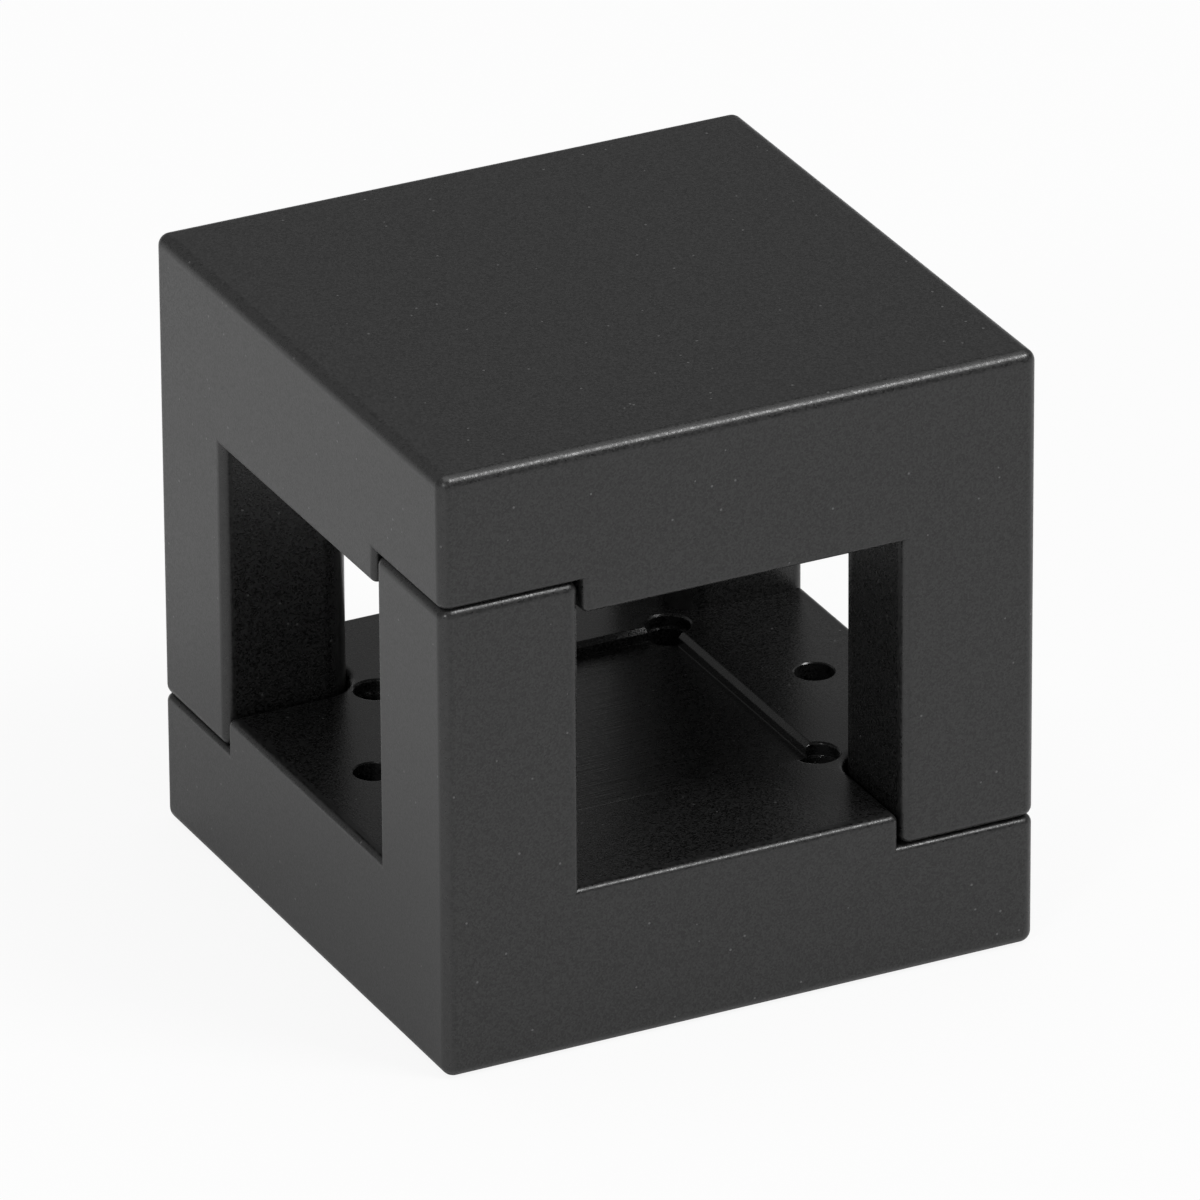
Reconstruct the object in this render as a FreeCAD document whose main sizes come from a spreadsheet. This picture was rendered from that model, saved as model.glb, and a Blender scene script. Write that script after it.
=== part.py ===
import FreeCAD, Part
import math
import os
import Sketcher

# Adapter that holds a small beamsplitter cube inside a mount made for a cube twice its side.
# It is two equal halves of black anodised aluminium. Each half is a square plate with two posts
# on one diagonal and two notches on the other. The upper half is the same piece turned over, so
# each post ends in a notch of the other half, and the small cube sits between the two plates in
# a shallow seat. Between the posts, four windows let the beams through.
#
# Each half is drawn with its outside face down, centred on the vertical axis. All sizes are in
# millimetres. A sketch is first drawn roughly, in about the right places, and its constraints
# then give it its sizes.

SIZES = {
    "outer_side": 25.4,
    "optic_side": 12.7,
    "optic_side_play": 0.1,
    "optic_end_play": 0.05,
    "seat_depth": 0.575,
    "seat_chamfer": 0.2,
    "window_margin": 0.55,
    "post_corner_radius": 1.5875,
    "notch_depth": 1.4,
    "notch_gap": 0.15,
    "outer_edge_radius": 0.5,
    "post_edge_radius": 0.42,
    "plate_edge_radius": 0.3,
    "relief_radius": 0.9,
    "relief_rim_chamfer": 0.07,
    "relief_drill_radius": 0.8,
    "relief_drill_depth": 2.4,
    "side_hole_inset": 3.1,
    "side_hole_diameter": 1.6,
    "side_hole_rim_chamfer": 0.05,
    "side_hole_depth": 3.0,
}

# Heights above the outside face of the half, and widths seen from above.
SEAT_FLOOR = "(Sizes.outer_side - Sizes.optic_side - Sizes.optic_end_play) / 2"
PLATE_TOP = f"{SEAT_FLOOR} + Sizes.seat_depth"
NOTCH_FLOOR = f"{PLATE_TOP} - Sizes.notch_depth"
POST_TOP = f"Sizes.outer_side - ({NOTCH_FLOOR})"
SEAT_SIDE = "Sizes.optic_side + Sizes.optic_side_play"
POST_WIDTH = "(Sizes.outer_side - Sizes.optic_side) / 2 - Sizes.window_margin"
POST_CORNER = "Sizes.post_corner_radius"
NOTCH_WIDTH = f"{POST_WIDTH} + Sizes.notch_gap"
NOTCH_CORNER = f"{POST_CORNER} + Sizes.notch_gap"

# All angles are in degrees. The last two are the included angle of the tip that a twist drill
# leaves, and that of the countersunk rim of a hole.
FULL_TURN = 360
DRILL_TIP_ANGLE = 118
RIM_ANGLE = 90

# Two points closer than this are the same point.
TOUCH = 1e-5
# A point this far out from an edge tells whether the edge is a ridge or an inside corner.
RIDGE_PROBE = 1e-3
# Faces that meet at less than this angle run smoothly into each other.
SMOOTH_ANGLE = 5


def make_sheet(doc):
    """Put each driving size in a cell of its own, under its name."""
    sheet = doc.addObject("Spreadsheet::Sheet", "Sizes")
    for row, (alias, value) in enumerate(SIZES.items(), start=1):
        sheet.set(f"A{row}", alias)
        sheet.set(f"B{row}", str(value))
        sheet.setAlias(f"B{row}", alias)
    doc.recompute()
    return sheet


def origin_feature(body, role):
    """Find one of the body's own origin planes or axes."""
    for feature in body.Origin.OriginFeatures:
        if feature.Role == role:
            return feature
    raise ValueError(f"no {role} in {body.Label}")


def bind(target, expressions):
    """Tie properties or constraints of an object to the sheet."""
    for path, expression in expressions.items():
        target.setExpression(path, expression)


def sketch_at(body, name, role, offset, turn=0):
    """Start a sketch on an origin plane, moved by the given expressions and turned about its normal."""
    sketch = body.newObject("Sketcher::SketchObject", name)
    sketch.AttachmentSupport = (origin_feature(body, role), [""])
    sketch.MapMode = "FlatFace"
    normal = FreeCAD.Vector(0, 0, 1)
    sketch.AttachmentOffset = FreeCAD.Placement(FreeCAD.Vector(), FreeCAD.Rotation(normal, turn))
    bind(sketch, {f"AttachmentOffset.Base.{axis}": place for axis, place in offset.items()})
    return sketch


def size_constraint(sketch, name, expression, kind, *places):
    """Add a named dimension between places of the sketch and tie it to the sheet."""
    value = float(sketch.evalExpression(expression))
    index = sketch.addConstraint(Sketcher.Constraint(kind, *places, value))
    sketch.renameConstraint(index, name)
    sketch.setExpression(f"Constraints.{name}", expression)


def draw_line(sketch, start, end):
    """Draw a straight line and give back its number in the sketch."""
    return sketch.addGeometry(Part.LineSegment(FreeCAD.Vector(*start, 0), FreeCAD.Vector(*end, 0)))


def chain(sketch, points):
    """Draw a closed run of straight lines, each joined to the next."""
    lines = [draw_line(sketch, *ends) for ends in zip(points, points[1:] + points[:1])]
    for line, following in zip(lines, lines[1:] + lines[:1]):
        sketch.addConstraint(Sketcher.Constraint("Coincident", line, 2, following, 1))
    return lines


def level(sketch, *lines):
    """Hold lines horizontal."""
    for line in lines:
        sketch.addConstraint(Sketcher.Constraint("Horizontal", line))


def upright(sketch, *lines):
    """Hold lines vertical."""
    for line in lines:
        sketch.addConstraint(Sketcher.Constraint("Vertical", line))


def centred_square(sketch, side):
    """Draw a square about the sketch's origin."""
    bottom, right, top, left = chain(sketch, [(-1, -1), (1, -1), (1, 1), (-1, 1)])
    level(sketch, bottom, top)
    upright(sketch, right, left)
    sketch.addConstraint(Sketcher.Constraint("Symmetric", bottom, 1, right, 2, -1, 1))
    sketch.addConstraint(Sketcher.Constraint("Equal", bottom, right))
    size_constraint(sketch, "side", side, "DistanceX", bottom, 1, bottom, 2)


def corner_square(sketch, width, radius):
    """Draw a square from the sketch's origin, with the corner opposite the origin rounded."""
    bottom = draw_line(sketch, (0, 0), (4, 0))
    right = draw_line(sketch, (4, 0), (4, 3))
    circle = Part.Circle(FreeCAD.Vector(3, 3, 0), FreeCAD.Vector(0, 0, 1), 1)
    corner = sketch.addGeometry(Part.ArcOfCircle(circle, 0, math.pi / 2))
    top = draw_line(sketch, (3, 4), (0, 4))
    left = draw_line(sketch, (0, 4), (0, 0))
    level(sketch, bottom, top)
    upright(sketch, right, left)
    sketch.addConstraint(Sketcher.Constraint("Coincident", bottom, 1, -1, 1))
    sketch.addConstraint(Sketcher.Constraint("Coincident", bottom, 2, right, 1))
    sketch.addConstraint(Sketcher.Constraint("Tangent", right, 2, corner, 1))
    sketch.addConstraint(Sketcher.Constraint("Tangent", corner, 2, top, 1))
    sketch.addConstraint(Sketcher.Constraint("Coincident", top, 2, left, 1))
    sketch.addConstraint(Sketcher.Constraint("Coincident", left, 2, bottom, 1))
    sketch.addConstraint(Sketcher.Constraint("Equal", bottom, left))
    size_constraint(sketch, "width", width, "DistanceX", bottom, 1, bottom, 2)
    size_constraint(sketch, "corner_radius", radius, "Radius", corner)


def pad(body, name, sketch, height):
    """Raise a sketch into a solid."""
    feature = body.newObject("PartDesign::Pad", name)
    feature.Profile = sketch
    bind(feature, {"Length": height})
    return feature


def pocket(body, name, sketch, depth):
    """Sink a sketch into the solid below it."""
    feature = body.newObject("PartDesign::Pocket", name)
    feature.Profile = sketch
    bind(feature, {"Length": depth})
    return feature


def repeat_round(body, name, feature, count):
    """Repeat a feature at equal angles about the vertical axis."""
    pattern = body.newObject("PartDesign::PolarPattern", name)
    pattern.Originals = [feature]
    pattern.Axis = (origin_feature(body, "Z_Axis"), [""])
    pattern.Angle = FULL_TURN
    pattern.Occurrences = count
    body.Tip = pattern
    return pattern


def dress_edges(body, kind, name, base, edges, size):
    """Round or chamfer the named edges of the last feature."""
    feature = body.newObject(f"PartDesign::{kind}", name)
    feature.Base = (base, edges)
    bind(feature, size)
    return feature


def edges_where(shape, test):
    """Name the edges that pass a test."""
    return [f"Edge{number}" for number, edge in enumerate(shape.Edges, start=1) if test(edge)]


def lies_at(edge, axis, place):
    """Tell whether the whole edge lies in the plane where the given coordinate has this value."""
    return all(abs(vertex.Point[axis] - place) < TOUCH for vertex in edge.Vertexes)


def outline_edges(shape, side):
    """Name the edges of the cube's outline: those that lie in two of its outside planes."""
    planes = [(0, side / 2), (0, -side / 2), (1, side / 2), (1, -side / 2), (2, 0)]

    def in_two_planes(edge):
        return sum(lies_at(edge, axis, place) for axis, place in planes) == 2

    return edges_where(shape, in_two_planes)


def is_ridge(shape, edge):
    """Tell whether two faces meet at the edge at an angle, with the material on the inside of it.

    The seam where a round face closes on itself has a single face, so it is no ridge.
    """
    faces = shape.ancestorsOfType(edge, Part.Face)
    if len(faces) < 2:
        return False
    middle = edge.valueAt((edge.FirstParameter + edge.LastParameter) / 2)
    one, other = [face.normalAt(*face.Surface.parameter(middle)) for face in faces]
    if one.getAngle(other) < math.radians(SMOOTH_ANGLE):
        return False
    return not shape.isInside(middle + (one - other) * RIDGE_PROBE, TOUCH, True)


def round_ridges(body, name, base, test, radius):
    """Round the ridges of the last feature that pass a test."""
    body.Document.recompute()
    ridges = edges_where(base.Shape, lambda edge: test(edge) and is_ridge(base.Shape, edge))
    return dress_edges(body, "Fillet", name, base, ridges, {"Radius": radius})


def make_blank(body):
    """Make the plate with its two posts and two notches, before any edge is rounded."""
    corner = {"x": "-Sizes.outer_side / 2", "y": "-Sizes.outer_side / 2"}
    next_corner = {"x": "Sizes.outer_side / 2", "y": "-Sizes.outer_side / 2", "z": PLATE_TOP}

    plate_sketch = sketch_at(body, "plate_outline", "XY_Plane", {})
    centred_square(plate_sketch, "Sizes.outer_side")
    plate = pad(body, "plate", plate_sketch, PLATE_TOP)

    post_sketch = sketch_at(body, "post_outline", "XY_Plane", corner)
    corner_square(post_sketch, POST_WIDTH, POST_CORNER)
    post = pad(body, "post", post_sketch, POST_TOP)
    repeat_round(body, "posts", post, 2)

    notch_sketch = sketch_at(body, "notch_outline", "XY_Plane", next_corner, FULL_TURN / 4)
    corner_square(notch_sketch, NOTCH_WIDTH, NOTCH_CORNER)
    notch = pocket(body, "notch", notch_sketch, "Sizes.notch_depth")
    return plate, repeat_round(body, "notches", notch, 2)


def round_edges(body, plate, blank, side):
    """Round the cube's outline, then the ridges of the posts, then those of the plate."""
    body.Document.recompute()
    plate_top = plate.Length.Value

    def is_on_post(edge):
        return max(vertex.Z for vertex in edge.Vertexes) > plate_top + TOUCH

    def is_any(edge):
        return True

    outline = dress_edges(
        body, "Fillet", "outline_rounding", blank,
        outline_edges(blank.Shape, side), {"Radius": "Sizes.outer_edge_radius"},
    )
    posts = round_ridges(body, "post_rounding", outline, is_on_post, "Sizes.post_edge_radius")
    round_ridges(body, "plate_rounding", posts, is_any, "Sizes.plate_edge_radius")


def make_seat(body, sizes):
    """Sink the square seat that the small cube's end fits in, with a chamfer round its rim."""
    seat_sketch = sketch_at(body, "seat_outline", "XY_Plane", {"z": PLATE_TOP})
    centred_square(seat_sketch, SEAT_SIDE)
    seat = pocket(body, "seat", seat_sketch, "Sizes.seat_depth")
    body.Document.recompute()

    half = (sizes.optic_side + sizes.optic_side_play) / 2
    top = seat_sketch.Placement.Base.z

    def on_rim(edge):
        along_wall = any(lies_at(edge, axis, place) for axis in (0, 1) for place in (half, -half))
        return along_wall and lies_at(edge, 2, top)

    rim = edges_where(seat.Shape, on_rim)
    dress_edges(body, "Chamfer", "seat_chamfer", seat, rim, {"Size": "Sizes.seat_chamfer"})


def make_reliefs(body):
    """Bore the four corners of the seat, so that the small cube's corners touch nothing.

    Each bore is wider down to the seat's floor and narrower below it, and ends in a drill's tip.
    The profile is half of the bore's section, with the sketch's upright axis on the bore's axis.
    """
    corner = {"x": f"({SEAT_SIDE}) / 2", "z": f"({SEAT_SIDE}) / 2"}
    sketch = sketch_at(body, "relief_section", "XZ_Plane", corner)
    section = [(0, 3.5), (0.8, 4), (0.8, 6), (0.9, 6), (0.9, 6.8), (1, 7), (0, 7)]
    tip, drill_wall, step, bore_wall, rim, mouth, axis = chain(sketch, section)
    upright(sketch, drill_wall, bore_wall, axis)
    level(sketch, step, mouth)
    sketch.addConstraint(Sketcher.Constraint("PointOnObject", tip, 1, -2))

    drill, bore, chamfer = "Sizes.relief_drill_radius", "Sizes.relief_radius", "Sizes.relief_rim_chamfer"
    size_constraint(sketch, "drill_radius", drill, "DistanceX", -1, 1, drill_wall, 1)
    size_constraint(sketch, "bore_radius", bore, "DistanceX", -1, 1, bore_wall, 1)
    size_constraint(sketch, "rim_width", chamfer, "DistanceX", rim, 1, rim, 2)
    size_constraint(sketch, "rim_height", chamfer, "DistanceY", rim, 1, rim, 2)
    size_constraint(sketch, "floor", SEAT_FLOOR, "DistanceY", -1, 1, step, 1)
    size_constraint(sketch, "top", PLATE_TOP, "DistanceY", -1, 1, mouth, 1)
    drill_bottom = f"{PLATE_TOP} - Sizes.relief_drill_depth"
    size_constraint(sketch, "drill_bottom", drill_bottom, "DistanceY", -1, 1, drill_wall, 1)
    tip_height = f"{drill} / tan({DRILL_TIP_ANGLE / 2} deg)"
    size_constraint(sketch, "tip_height", tip_height, "DistanceY", tip, 1, tip, 2)

    relief = body.newObject("PartDesign::Groove", "relief")
    relief.Profile = sketch
    relief.ReferenceAxis = (sketch, ["V_Axis"])
    relief.Angle = FULL_TURN
    repeat_round(body, "reliefs", relief, 4)


def make_side_holes(body):
    """Drill a blind hole in the middle of two opposite ledges beside the seat."""
    sketch = sketch_at(body, "side_hole_centre", "XY_Plane", {"z": PLATE_TOP})
    circle = sketch.addGeometry(Part.Circle(FreeCAD.Vector(9, 0, 0), FreeCAD.Vector(0, 0, 1), 1))
    sketch.addConstraint(Sketcher.Constraint("PointOnObject", circle, 3, -1))
    size_constraint(sketch, "diameter", "Sizes.side_hole_diameter", "Diameter", circle)
    from_centre = "Sizes.outer_side / 2 - Sizes.side_hole_inset"
    size_constraint(sketch, "from_centre", from_centre, "DistanceX", -1, 1, circle, 3)

    hole = body.newObject("PartDesign::Hole", "side_hole")
    hole.Profile = sketch
    body.Document.recompute()
    hole.Threaded = False
    hole.DepthType = "Dimension"
    hole.DrillPoint = "Angled"
    hole.DrillPointAngle = DRILL_TIP_ANGLE
    hole.HoleCutType = "Countersink"
    hole.HoleCutCustomValues = True
    hole.HoleCutCountersinkAngle = RIM_ANGLE
    bind(hole, {
        "Diameter": "Sizes.side_hole_diameter",
        "Depth": "Sizes.side_hole_depth",
        "HoleCutDiameter": "Sizes.side_hole_diameter + 2 * Sizes.side_hole_rim_chamfer",
    })
    repeat_round(body, "side_holes", hole, 2)


def make_half(doc, sizes, label):
    """Make one half, outside face down."""
    body = doc.addObject("PartDesign::Body", label)
    body.Label = label
    plate, blank = make_blank(body)
    round_edges(body, plate, blank, sizes.outer_side)
    make_seat(body, sizes)
    make_reliefs(body)
    make_side_holes(body)
    doc.recompute()
    return body


def check(doc, halves):
    """Stop if any object failed to build, or if a half isn't one sound solid."""
    for thing in doc.Objects:
        if "Invalid" in thing.State or "Error" in thing.State:
            raise RuntimeError(f"{thing.Label} did not build: {thing.State}")
    for half in halves:
        if half.Shape.isNull() or not half.Shape.isValid() or len(half.Shape.Solids) != 1:
            raise RuntimeError(f"{half.Label} is not one valid solid")


def main():
    doc = FreeCAD.newDocument("cube_adapter")
    sizes = make_sheet(doc)

    lower_half = make_half(doc, sizes, "lower_half")
    lower_half.Placement = FreeCAD.Placement()

    # The upper half is turned over about the X axis, which brings its posts over the other's notches.
    upper_half = make_half(doc, sizes, "upper_half")
    turned_over = FreeCAD.Rotation(FreeCAD.Vector(1, 0, 0), FULL_TURN / 2)
    upper_half.Placement = FreeCAD.Placement(FreeCAD.Vector(), turned_over)
    bind(upper_half, {"Placement.Base.z": "Sizes.outer_side"})
    doc.recompute()

    halves = [lower_half, upper_half]
    check(doc, halves)
    os.makedirs("parts", exist_ok=True)
    for half in halves:
        half.Shape.exportStep(f"parts/{half.Label}.step")
        box = half.Shape.BoundBox
        print(half.Label, f"volume {half.Shape.Volume:.3f}, from {box.ZMin:.3f} to {box.ZMax:.3f}")


main()
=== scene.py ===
# %% [markdown]
# # A beamsplitter cube adapter
# This small black cube holds a 12.7 mm beamsplitter cube in a mount made for one of 25.4 mm.
# It is two equal halves of bead-blasted, black anodised aluminium, whose posts interlock.
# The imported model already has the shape, so this script adds no piece. It gives the halves
# their finish, and then a floor, light and the photograph's camera.

# %% Load the frame
import math

import bpy
from mathutils import Matrix, Vector


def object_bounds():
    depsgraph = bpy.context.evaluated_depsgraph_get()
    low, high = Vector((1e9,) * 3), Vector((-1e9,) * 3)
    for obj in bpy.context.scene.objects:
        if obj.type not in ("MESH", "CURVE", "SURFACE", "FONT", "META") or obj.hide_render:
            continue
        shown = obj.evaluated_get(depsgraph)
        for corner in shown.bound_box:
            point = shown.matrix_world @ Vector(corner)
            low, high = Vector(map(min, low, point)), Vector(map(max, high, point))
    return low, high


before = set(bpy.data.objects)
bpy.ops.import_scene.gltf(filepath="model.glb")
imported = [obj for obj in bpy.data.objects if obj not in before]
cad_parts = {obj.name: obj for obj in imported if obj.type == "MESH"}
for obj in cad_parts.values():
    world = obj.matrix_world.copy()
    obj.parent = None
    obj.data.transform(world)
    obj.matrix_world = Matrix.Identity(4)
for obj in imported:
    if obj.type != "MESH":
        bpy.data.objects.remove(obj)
cad_low, cad_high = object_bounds()

# Blender counts in metres, so a size in millimetres is written as a number times MM.
MM = 0.001
LOWER, UPPER = "lower_half", "upper_half"
side = cad_high.x - cad_low.x
centre = Vector((0, 0, side / 2))
print(f"the cube is {side / MM:.2f} mm on each side")

# %% [markdown]
# ## The camera
# The photograph was taken from far away with a long lens, so the cube's edges run almost
# parallel. A camera that stands on a sphere round the cube is easiest to describe: two angles,
# a distance, the point it looks at and a slight roll. The numbers come from matching the
# cube's corners, seams and seat to the same places in the photograph.

# %% Directions round the cube


def direction(azimuth, elevation):
    """Unit vector to a place on the sphere. Azimuth 0 is in front of the cube, at -Y, and turns
    towards +X; elevation is above the floor."""
    a, e = math.radians(azimuth), math.radians(elevation)
    return Vector((math.sin(a) * math.cos(e), -math.cos(a) * math.cos(e), math.sin(e)))


def facing(place, target):
    """Rotation that points an object's -Z axis at the target, with its Y axis up."""
    return (target - place).to_track_quat("-Z", "Y").to_matrix().to_4x4()


print("front is", tuple(round(v, 3) for v in direction(0, 0)))

# %% Camera
CAMERA_AZIMUTH = -26.32
CAMERA_ELEVATION = 25.96
CAMERA_ROLL = -0.37
CAMERA_DISTANCE = 576.1 * MM
CAMERA_LENS = 445.0
LOOK_AT = Vector((0.09, -0.29, 12.25)) * MM
CLIP_NEAR, CLIP_FAR = 10 * MM, 20


def add_camera():
    """A camera on its sphere, turned to the point it looks at and then rolled."""
    data = bpy.data.cameras.new("photo_camera")
    data.lens = CAMERA_LENS
    data.clip_start, data.clip_end = CLIP_NEAR, CLIP_FAR
    camera = bpy.data.objects.new("photo_camera", data)
    bpy.context.scene.collection.objects.link(camera)
    place = LOOK_AT + direction(CAMERA_AZIMUTH, CAMERA_ELEVATION) * CAMERA_DISTANCE
    roll = Matrix.Rotation(math.radians(CAMERA_ROLL), 4, "Z")
    camera.matrix_world = Matrix.Translation(place) @ facing(place, LOOK_AT) @ roll
    bpy.context.scene.camera = camera
    print(f"camera at {tuple(round(v / MM, 1) for v in place)} mm")


add_camera()

# %% [markdown]
# ## Smooth rounded edges
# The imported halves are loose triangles, and their rounded edges are narrow strips. Seen as they
# are, each strip shows as a flat facet. Welding the triangles joins them, and then shading can
# run smoothly from strip to strip. Two things keep the flat faces flat: an edge where the
# surface turns by more than 25 degrees stays sharp, and the normals are weighted by area, so
# that the large faces win over the thin strips beside them.

# %% Sharp edges
SHARP_ANGLE = math.radians(25)


def add_node(tree, kind, inputs=None, **settings):
    """Add a node. An input is given a value, or another node's output socket to link from."""
    node = tree.nodes.new(kind)
    for name, value in settings.items():
        setattr(node, name, value)
    for name, value in (inputs or {}).items():
        if isinstance(value, bpy.types.NodeSocket):
            tree.links.new(value, node.inputs[name])
        else:
            node.inputs[name].default_value = value
    return node


def sharp_edges_group():
    """Geometry nodes that mark an edge sharp where its faces turn by more than the angle."""
    tree = bpy.data.node_groups.new("sharp_by_angle", "GeometryNodeTree")
    tree.interface.new_socket("Geometry", in_out="INPUT", socket_type="NodeSocketGeometry")
    tree.interface.new_socket("Geometry", in_out="OUTPUT", socket_type="NodeSocketGeometry")
    start = add_node(tree, "NodeGroupInput")
    angle = add_node(tree, "GeometryNodeInputMeshEdgeAngle")
    smooth = add_node(
        tree, "FunctionNodeCompare",
        {"A": angle.outputs["Unsigned Angle"], "B": SHARP_ANGLE}, operation="LESS_THAN",
    )
    faces = add_node(
        tree, "GeometryNodeSetShadeSmooth",
        {"Geometry": start.outputs["Geometry"], "Shade Smooth": True}, domain="FACE",
    )
    edges = add_node(
        tree, "GeometryNodeSetShadeSmooth",
        {"Geometry": faces.outputs["Geometry"], "Shade Smooth": smooth.outputs["Result"]},
        domain="EDGE",
    )
    add_node(tree, "NodeGroupOutput", {"Geometry": edges.outputs["Geometry"]})
    return tree


group = sharp_edges_group()
print(f"{len(group.nodes)} nodes keep edges above {math.degrees(SHARP_ANGLE):.0f} degrees sharp")

# %% Smooth shading
WELD = 0.0005 * MM
# Faces are weighed by their area. At 50 that is all, and up to 100 the large ones gain.
LARGE_FACES_WIN = 100


def smooth_shading(piece, group):
    """Weld the triangles, mark the sharp edges and weight the normals by area."""
    weld = piece.modifiers.new("weld", "WELD")
    weld.merge_threshold = WELD
    sharp = piece.modifiers.new("sharp_edges", "NODES")
    sharp.node_group = group
    normals = piece.modifiers.new("normals", "WEIGHTED_NORMAL")
    normals.keep_sharp = True
    normals.weight = LARGE_FACES_WIN


for name in (LOWER, UPPER):
    smooth_shading(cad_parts[name], group)
    print(name, "has", len(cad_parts[name].data.polygons), "triangles")

# %% [markdown]
# ## Black anodised aluminium
# The halves were milled from aluminium bar, bead-blasted, anodised and dyed black. Blasting
# leaves tiny dents side by side, which spread the light to a satin sheen. The oxide is a hard
# clear layer with black dye in its pores: the eye sees that sheen over black and almost no
# colour of its own. So the metal below never shows, and the material is a dielectric, not a
# metal.
#
# A colour is written as the sRGB hex value that a picture editor shows, and turned to linear
# light once.

# %% Colours


def linear(hex_colour):
    """sRGB hex to linear RGBA: below 0.04045 a straight line, above it a power curve."""
    values = [int(hex_colour[i : i + 2], 16) / 255 for i in (1, 3, 5)]
    return [v / 12.92 if v <= 0.04045 else ((v + 0.055) / 1.055) ** 2.4 for v in values] + [1]


def new_material(name):
    """A material with its node tree emptied."""
    material = bpy.data.materials.new(name)
    material.use_nodes = True
    material.node_tree.nodes.clear()
    return material, material.node_tree


DYE_DEEP = "#000000"
DYE_THIN = "#282828"
RUBBED_EDGE = "#282828"
DUST = "#565656"
print("the dye reflects", round(linear(DYE_DEEP)[0], 4), "to", round(linear(DYE_THIN)[0], 4))

# %% [markdown]
# ## Blasted grain
# Each bead leaves a round dent, and the dents lie side by side in no order. A noise could stand
# for them, but it has no separate dents. A pattern of cells has: it scatters points, and gives
# every place its distance to the nearest point and a random colour that is the same all round
# that point. The distance is the dent's shape. The colour is its tone, which says how much dye
# it took and how glossy it is.
#
# Fine beads leave dents a few hundredths of a millimetre across. They are drawn 0.07 mm wide,
# which is coarser than real, because smaller ones vanish between the picture's pixels.
#
# A few specks of dust lie on the cube. They come from the points of a much wider pattern, and
# one shows only where such a point happens to lie close to the surface.

# %% Dents and dust
DENT = 0.07 * MM
DUST_SPACING = 0.9 * MM
DUST_REACH = 0.05 * MM


def blasted_dents(tree, place):
    """Round dents side by side: how far up a dent's side, and a random tone for each dent."""
    cells = add_node(tree, "ShaderNodeTexVoronoi", {"Vector": place, "Scale": 1 / DENT})
    tones = add_node(tree, "ShaderNodeSeparateColor", {"Color": cells.outputs["Color"]})
    return cells.outputs["Distance"], tones.outputs["Red"]


def dust_specks(tree, place):
    """1 within a speck's reach of a few scattered points, and 0 elsewhere."""
    points = add_node(tree, "ShaderNodeTexVoronoi", {"Vector": place, "Scale": 1 / DUST_SPACING})
    speck = add_node(
        tree, "ShaderNodeMath",
        {0: points.outputs["Distance"], 1: DUST_REACH / DUST_SPACING}, operation="LESS_THAN",
    )
    return speck.outputs["Value"]


print(f"dents of {DENT / MM:.3f} mm, and specks of {2 * DUST_REACH / MM:.2f} mm")

# %% [markdown]
# ## Where the finish differs
# The two halves mirror each other, so every place is folded onto one eighth of the cube: its
# distances from the three middle planes say on which surface it lies. Blasting is full on the
# six outside faces and weaker inside. The seat, its four corner bores and the two side holes
# were cut last, with sharp tools: their walls are glossy, and only their level floors are dull.
# One material with masks does this, where separate ones would need the faces sorted by hand.

# %% Places folded onto one eighth


def folded_place(tree, place):
    """Distances from the cube's three middle planes, as a vector and as its parts."""
    middle = add_node(tree, "ShaderNodeVectorMath", {0: place, 1: centre}, operation="SUBTRACT")
    folded = add_node(
        tree, "ShaderNodeVectorMath", {0: middle.outputs["Vector"]}, operation="ABSOLUTE"
    )
    parts = add_node(tree, "ShaderNodeSeparateXYZ", {"Vector": folded.outputs["Vector"]})
    return folded.outputs["Vector"], parts.outputs


def largest(tree, parts):
    """The largest of the three parts."""
    reach = parts["X"]
    for axis in "YZ":
        wider = add_node(tree, "ShaderNodeMath", {0: reach, 1: parts[axis]}, operation="MAXIMUM")
        reach = wider.outputs["Value"]
    return reach


print(f"every place lies within {side / 2 / MM:.2f} mm of the middle planes")

# %% Inside and milled surfaces
# The outside faces and their rounded edges reach this deep into the cube.
SKIN = 0.5 * MM
# Distances from the middle plane between the halves: the plates' inner faces, and a place
# deeper than every cut and short of the outside.
PLATE_FACE = 5.8 * MM
CUT_BOTTOM = 10.0 * MM
# Distances from the upright axis: a square round the seat and its bores, and the side holes.
SEAT_REACH = 7.31 * MM
SIDE_HOLE = Vector((9.6, 0, 0)) * MM
SIDE_HOLE_REACH = 0.9 * MM


def inside_faces(tree, parts):
    """1 inside the cube and 0 on its outside faces and their rounded edges."""
    inner = add_node(
        tree, "ShaderNodeMath", {0: largest(tree, parts), 1: side / 2 - SKIN},
        operation="LESS_THAN",
    )
    return inner.outputs["Value"]


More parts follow.
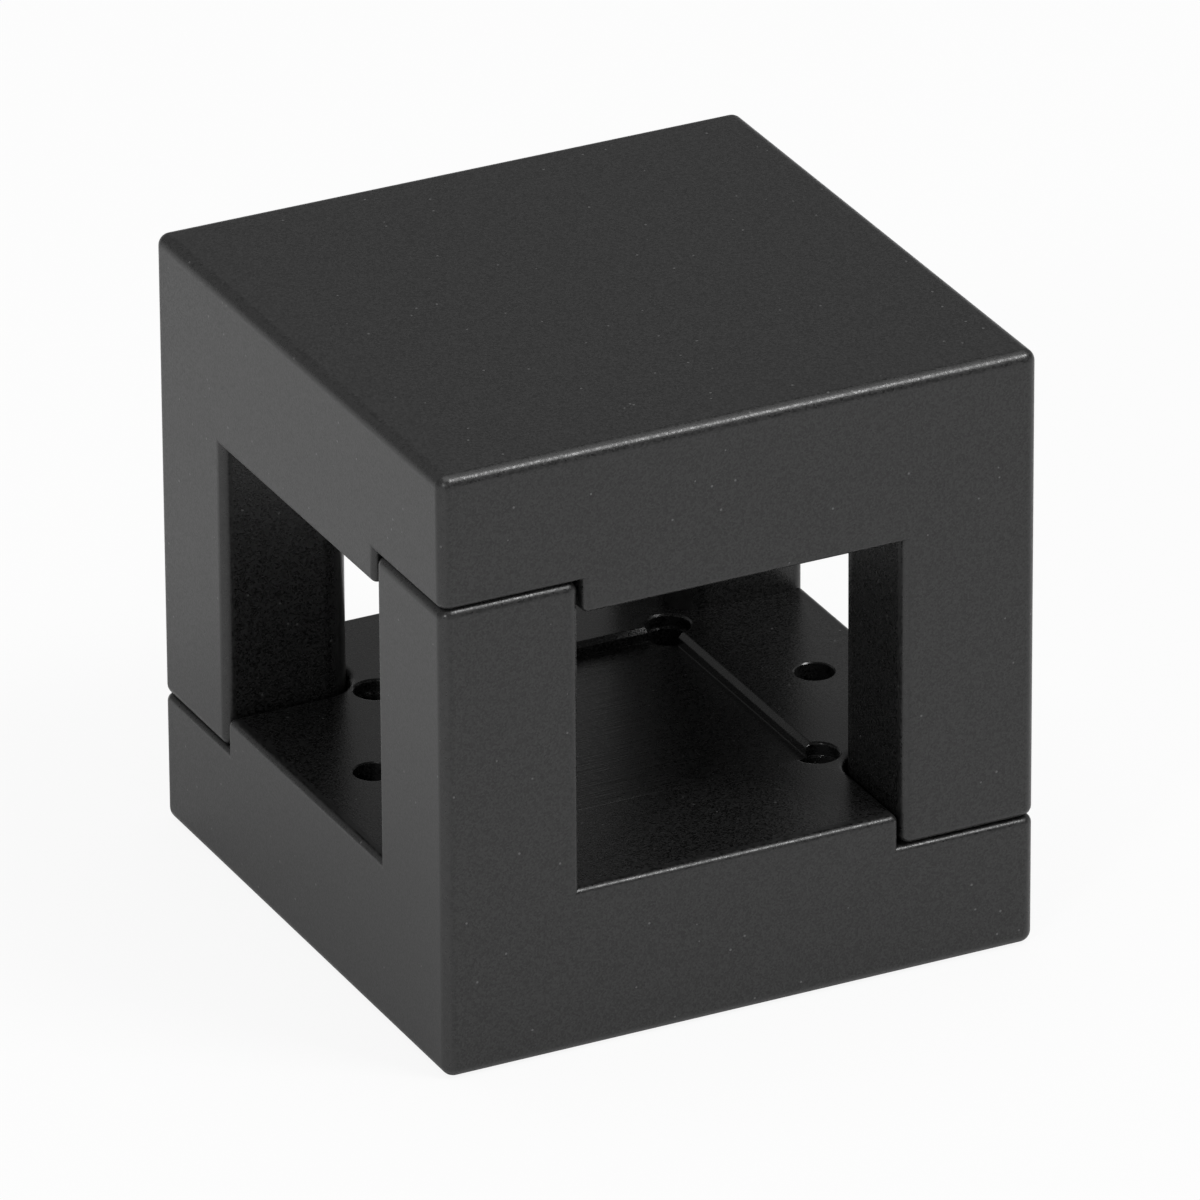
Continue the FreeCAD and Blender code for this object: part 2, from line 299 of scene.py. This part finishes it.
def cut_zones(tree, folded, parts):
    """Two masks: the square column that the seat and its bores lie in, and what is cut into the
    plates, which is the seat, its bores and the side holes from the plate's face down."""
    flat = add_node(
        tree, "ShaderNodeVectorMath", {0: folded, 1: (1, 1, 0)}, operation="MULTIPLY"
    ).outputs["Vector"]
    from_hole = add_node(
        tree, "ShaderNodeVectorMath", {0: flat, 1: SIDE_HOLE}, operation="DISTANCE"
    )
    across = add_node(tree, "ShaderNodeMath", {0: parts["X"], 1: parts["Y"]}, operation="MAXIMUM")
    tests = (
        (from_hole.outputs["Value"], SIDE_HOLE_REACH, "LESS_THAN"),
        (across.outputs["Value"], SEAT_REACH, "LESS_THAN"),
        (parts["Z"], PLATE_FACE + WELD, "GREATER_THAN"),
        (parts["Z"], CUT_BOTTOM, "LESS_THAN"),
    )
    hole, seat, past_face, before_outside = [
        add_node(tree, "ShaderNodeMath", {0: value, 1: limit}, operation=test).outputs["Value"]
        for value, limit, test in tests
    ]
    either = add_node(tree, "ShaderNodeMath", {0: hole, 1: seat}, operation="MAXIMUM")
    milled = either.outputs["Value"]
    for limit in (past_face, before_outside):
        milled = add_node(
            tree, "ShaderNodeMath", {0: milled, 1: limit}, operation="MULTIPLY"
        ).outputs["Value"]
    return seat, milled


print(f"seat and bores within {SEAT_REACH / MM:.2f} mm of the middle")

# %% [markdown]
# ## Rubbed edges
# The oxide is thinnest on a ridge, and hands and mounts rub there, so the rounded edges are a
# little paler and smoother. Every flat face of this cube looks along an axis, so the largest
# part of the normal says where the surface is round: it is 1 on the flats and less on each
# rounded edge. An uneven noise breaks the rubbed line up.

# %% Ridges and patches
# The largest part of the normal, where rubbing starts and where it is full.
RIDGE_START, RIDGE_FULL = 0.98, 0.8
RUB_PATCH = 0.25 * MM
# The noise's values that stand for no rubbing and for full rubbing.
PATCH_NONE, PATCH_FULL = 0.1, 0.6


def normal_parts(tree, texture):
    """How far the surface looks along X, Y and Z, each from 0 to 1."""
    size = add_node(
        tree, "ShaderNodeVectorMath", {0: texture.outputs["Normal"]}, operation="ABSOLUTE"
    )
    parts = add_node(tree, "ShaderNodeSeparateXYZ", {"Vector": size.outputs["Vector"]})
    return parts.outputs


def rubbed_edges(tree, looks, place):
    """How much an edge is rubbed: how far the normal is from every axis, times a noise."""
    ridge = add_node(
        tree, "ShaderNodeMapRange",
        {"Value": largest(tree, looks), "From Min": RIDGE_START, "From Max": RIDGE_FULL},
        interpolation_type="SMOOTHSTEP",
    )
    patches = add_node(
        tree, "ShaderNodeTexNoise", {"Vector": place, "Scale": 1 / RUB_PATCH, "Detail": 1.0}
    )
    broken = add_node(
        tree, "ShaderNodeMapRange",
        {"Value": patches.outputs["Fac"], "From Min": PATCH_NONE, "From Max": PATCH_FULL},
    )
    rubbed = add_node(
        tree, "ShaderNodeMath",
        {0: ridge.outputs["Result"], 1: broken.outputs["Result"]}, operation="MULTIPLY",
    )
    return rubbed.outputs["Value"]


print(f"rubbed patches about {RUB_PATCH / MM:.2f} mm long")

# %% [markdown]
# ## Dye
# Each dent took its own share of the dye, so its tone goes from pure black to a very dark grey.
# A rubbed edge goes towards that dark grey, and dust is paler. A mask brings in each in turn, by
# a chain of Mix nodes, and the same chain serves numbers and normals further down.

# %% Dyed colour
# A Mix node has two inputs and an output of its own for each kind of value.
MIX_SOCKETS = {"FLOAT": (2, 3, 0), "VECTOR": (4, 5, 1), "RGBA": (6, 7, 2)}


def blend(tree, kind, start, *steps):
    """Mix a value towards others in turn, each by its own share."""
    first, second, result = MIX_SOCKETS[kind]
    value = start
    for share, target in steps:
        mix = add_node(
            tree, "ShaderNodeMix", {0: share, first: value, second: target}, data_type=kind
        )
        value = mix.outputs[result]
    return value


def dyed_colour(tree, tone, rubbed, dust):
    """Black to dark grey by the dents' tone, then the rubbed edges and then the specks."""
    return blend(
        tree, "RGBA", linear(DYE_DEEP),
        (tone, linear(DYE_THIN)), (rubbed, linear(RUBBED_EDGE)), (dust, linear(DUST)),
    )


print("thin dye, rubbed edge and dust:", DYE_THIN, RUBBED_EDGE, DUST)

# %% [markdown]
# ## Satin and gloss
# Roughness says how wide a reflection spreads, and 0 is a mirror. The outside's was matched to
# how softly the pale floor fades up the cube's left side. Inside, the blasting was weaker and
# the sheen is tighter. A cut wall is nearly polished, and a level floor is dull, because the
# end of a cutter scrapes it. No two dents are alike, so each dent's tone also moves its
# roughness up or down by a share.

# %% Roughness
SATIN, INNER_SATIN, RUBBED_SATIN = 0.37, 0.28, 0.33
CUT_WALL, CUT_FLOOR = 0.08, 0.32
UNEVEN, INNER_UNEVEN = 0.26, 0.09


def satin_roughness(tree, tone, inside, rubbed, milled, level):
    """Each zone's roughness, times 1 plus or minus the zone's spread by the dents' tone."""
    cut = blend(tree, "FLOAT", CUT_WALL, (level, CUT_FLOOR))
    satin = blend(
        tree, "FLOAT", SATIN, (inside, INNER_SATIN), (rubbed, RUBBED_SATIN), (milled, cut)
    )
    spread = blend(tree, "FLOAT", UNEVEN, (inside, INNER_UNEVEN), (milled, UNEVEN))
    least = add_node(tree, "ShaderNodeMath", {0: 1.0, 1: spread}, operation="SUBTRACT")
    most = add_node(tree, "ShaderNodeMath", {0: 1.0, 1: spread}, operation="ADD")
    uneven = add_node(
        tree, "ShaderNodeMapRange",
        {"Value": tone, "To Min": least.outputs["Value"], "To Max": most.outputs["Value"]},
    )
    roughness = add_node(
        tree, "ShaderNodeMath", {0: satin, 1: uneven.outputs["Result"]}, operation="MULTIPLY"
    )
    return roughness.outputs["Value"]


print(f"roughness {SATIN} outside, {INNER_SATIN} inside, {CUT_WALL} on a cut wall")

# %% [markdown]
# ## Dents, cutter marks and broken edges
# The blasted surfaces have dents. A cutter leaves marks of its own on the level floors of the
# cuts: fine lines along X, drawn as a noise that is stretched that way. Both are too small to
# model, so they are a bump, and its height is in millimetres. Edges that were left sharp are
# still broken by less than a tenth of a millimetre. In the seat, where the light catches them,
# a Bevel node turns the shading normal round each edge, and gives the thin glint of a real one.

# %% Relief
DENT_DEPTH = 0.0025 * MM
MARK_DEPTH = 0.012 * MM
MARK_WIDTH, MARK_LENGTH = 0.08 * MM, 3.0 * MM
BROKEN_EDGE = 0.08 * MM
BEVEL_SAMPLES = 4


def cutter_marks(tree, place):
    """Fine lines along X: a noise stretched from the marks' width to their length."""
    along = Vector((1 / MARK_LENGTH, 1 / MARK_WIDTH, 1 / MARK_WIDTH))
    stretched = add_node(tree, "ShaderNodeVectorMath", {0: place, 1: along}, operation="MULTIPLY")
    marks = add_node(
        tree, "ShaderNodeTexNoise",
        {"Vector": stretched.outputs["Vector"], "Scale": 1.0, "Detail": 1.0},
    )
    return marks.outputs["Fac"]


def surface_height(tree, dents, marks, milled, level):
    """Millimetres of relief: dents, but in the cuts marks on what is level and none on walls."""
    dented, marked = [
        add_node(
            tree, "ShaderNodeMath", {0: shape, 1: depth / MM}, operation="MULTIPLY"
        ).outputs["Value"]
        for shape, depth in ((dents, DENT_DEPTH), (marks, MARK_DEPTH))
    ]
    cut = blend(tree, "FLOAT", 0.0, (level, marked))
    return blend(tree, "FLOAT", dented, (milled, cut))


def edge_normal(tree, seat):
    """The surface's own normal, and in the seat one that is rounded over each edge."""
    plain = add_node(tree, "ShaderNodeNewGeometry")
    rounded = add_node(tree, "ShaderNodeBevel", {"Radius": BROKEN_EDGE}, samples=BEVEL_SAMPLES)
    return blend(tree, "VECTOR", plain.outputs["Normal"], (seat, rounded.outputs["Normal"]))


print(f"dents {DENT_DEPTH / MM:.4f} mm deep, marks {MARK_DEPTH / MM:.3f} mm")

# %% [markdown]
# ## The finish itself
# The masks, the dye, the roughness and the relief meet in one Principled shader. The refractive
# index is that of the sealed oxide. It is the same all over, so it stands on the shader's own
# socket.

# %% Anodised finish
OXIDE_IOR = 1.55


def anodised(name):
    """Black anodise over blasted aluminium: dyed, dented, milled in its seat, rubbed at edges."""
    material, tree = new_material(name)
    texture = add_node(tree, "ShaderNodeTexCoord")
    place = texture.outputs["Object"]
    folded, parts = folded_place(tree, place)
    inside = inside_faces(tree, parts)
    seat, milled = cut_zones(tree, folded, parts)
    looks = normal_parts(tree, texture)
    level = looks["Z"]
    rubbed = rubbed_edges(tree, looks, place)
    dents, tone = blasted_dents(tree, place)
    dust = dust_specks(tree, place)
    marks = cutter_marks(tree, place)
    bump = add_node(
        tree, "ShaderNodeBump",
        {
            "Height": surface_height(tree, dents, marks, milled, level),
            "Strength": 1.0,
            "Distance": MM,
            "Normal": edge_normal(tree, seat),
        },
    )
    shader = add_node(
        tree, "ShaderNodeBsdfPrincipled",
        {
            "Base Color": dyed_colour(tree, tone, rubbed, dust),
            "Roughness": satin_roughness(tree, tone, inside, rubbed, milled, level),
            "IOR": OXIDE_IOR,
            "Normal": bump.outputs["Normal"],
        },
    )
    add_node(tree, "ShaderNodeOutputMaterial", {"Surface": shader.outputs["BSDF"]})
    return material


finish = anodised("bead_blasted_black_anodise")
for name in (LOWER, UPPER):
    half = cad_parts[name]
    half.data.materials.clear()
    half.data.materials.append(finish)
print("finished", LOWER, "and", UPPER)

# %% [markdown]
# ## White paper under it
# The photograph has no visible floor: the cube stands on pure white. More light would whiten a
# floor, but it would wash out the cube as well. So the camera sees nine parts of an even white
# glow and one part of lit paper, which keeps a faint shadow under the cube. The satin sides
# reflect mostly the lit paper itself, with a small share of glow, so that the shadow round the
# cube's foot still darkens their lower part.

# %% Floor
FLOOR_WHITE = "#f2f2f2"
FLOOR_HALF = 3.0
FLOOR_DROP = 0.01 * MM
# The shares of glow for what the camera sees and for what a surface reflects.
CAMERA_GLOW = 0.9
SHEEN_GLOW = 0.15


def white_paper():
    """Diffuse paper, with a share of white glow for the camera and one for reflections. The
    glow isn't sampled as a lamp, and diffuse rays don't see it."""
    material, tree = new_material("white_paper")
    material.cycles.emission_sampling = "NONE"
    path = add_node(tree, "ShaderNodeLightPath")
    to_camera = add_node(
        tree, "ShaderNodeMath", {0: path.outputs["Is Camera Ray"], 1: CAMERA_GLOW},
        operation="MULTIPLY",
    )
    mirrored = add_node(
        tree, "ShaderNodeMath",
        {0: path.outputs["Is Glossy Ray"], 1: path.outputs["Is Transmission Ray"]},
        operation="MAXIMUM",
    )
    to_sheen = add_node(
        tree, "ShaderNodeMath", {0: mirrored.outputs["Value"], 1: SHEEN_GLOW},
        operation="MULTIPLY",
    )
    share = add_node(
        tree, "ShaderNodeMath",
        {0: to_camera.outputs["Value"], 1: to_sheen.outputs["Value"]}, operation="MAXIMUM",
    )
    paper = add_node(tree, "ShaderNodeBsdfDiffuse", {"Color": linear(FLOOR_WHITE)})
    glow = add_node(tree, "ShaderNodeEmission", {"Strength": 1.0})
    mix = add_node(
        tree, "ShaderNodeMixShader",
        {0: share.outputs["Value"], 1: paper.outputs["BSDF"], 2: glow.outputs["Emission"]},
    )
    add_node(tree, "ShaderNodeOutputMaterial", {"Surface": mix.outputs["Shader"]})
    return material


def add_floor():
    """A wide square of paper, a hair below the cube's base so that the two share no plane."""
    mesh = bpy.data.meshes.new("floor")
    w, z = FLOOR_HALF, -FLOOR_DROP
    mesh.from_pydata([(-w, -w, z), (w, -w, z), (w, w, z), (-w, w, z)], [], [(0, 1, 2, 3)])
    mesh.materials.append(white_paper())
    floor = bpy.data.objects.new("floor", mesh)
    bpy.context.scene.collection.objects.link(floor)
    print(f"floor {2 * w:.0f} m wide")


add_floor()

# %% [markdown]
# ## Soft light
# The key softbox stands high to the right, where the rounded upper edges of the front mirror
# it to the camera as bright lines. A small, strong one at the left shines through the windows
# and gives the bores and holes their glints. A wide, weak one overhead lights the paper evenly,
# and the upright sides show the lit paper as their sheen.
#
# The room gives the rest: white up to 2.5 degrees above the horizon, and from 5 degrees dim
# walls and a dim ceiling. The dim part is what the cube's top reflects to the camera, so it
# sets how dark the top looks.

# %% Lamps
LAMP_DISTANCE = 0.9
LAMPS = {
    "key_softbox": {"azimuth": 42.0, "elevation": 54.0, "size": 0.25, "radiance": 15.0},
    "fill_softbox": {"azimuth": -52.0, "elevation": 28.0, "size": 0.1, "radiance": 40.0},
    "overhead_softbox": {"azimuth": 0.0, "elevation": 90.0, "size": 0.8, "radiance": 1.5},
}


def add_softbox(name, azimuth, elevation, size, radiance):
    """A square lamp that faces the cube. Its power follows from the radiance that it shows:
    a flat emitter sends out pi times its radiance times its area."""
    data = bpy.data.lights.new(name, "AREA")
    data.shape = "SQUARE"
    data.size = size
    data.energy = radiance * math.pi * size * size
    lamp = bpy.data.objects.new(name, data)
    bpy.context.scene.collection.objects.link(lamp)
    place = centre + direction(azimuth, elevation) * LAMP_DISTANCE
    lamp.matrix_world = Matrix.Translation(place) @ facing(place, centre)
    print(f"{name} gives {data.energy:.1f} W")


for name, lamp in LAMPS.items():
    add_softbox(name, **lamp)

# %% Room
SWEEP_TOP = math.sin(math.radians(2.5))
DIM_FROM = math.sin(math.radians(5))
DIM_ROOM = 0.31


def add_room():
    """White near the horizon and dim above, by the sine of the elevation."""
    world = bpy.data.worlds.new("studio")
    bpy.context.scene.world = world
    world.use_nodes = True
    tree = world.node_tree
    tree.nodes.clear()
    texture = add_node(tree, "ShaderNodeTexCoord")
    up = add_node(tree, "ShaderNodeSeparateXYZ", {"Vector": texture.outputs["Generated"]})
    strength = add_node(
        tree, "ShaderNodeMapRange",
        {
            "Value": up.outputs["Z"], "From Min": SWEEP_TOP, "From Max": DIM_FROM,
            "To Min": 1.0, "To Max": DIM_ROOM,
        },
        interpolation_type="SMOOTHSTEP",
    )
    room = add_node(tree, "ShaderNodeBackground", {"Strength": strength.outputs["Result"]})
    add_node(tree, "ShaderNodeOutputWorld", {"Surface": room.outputs["Background"]})
    print(f"the room's upper part has {DIM_ROOM} of white")


add_room()
bpy.context.scene.view_settings.view_transform = "Standard"
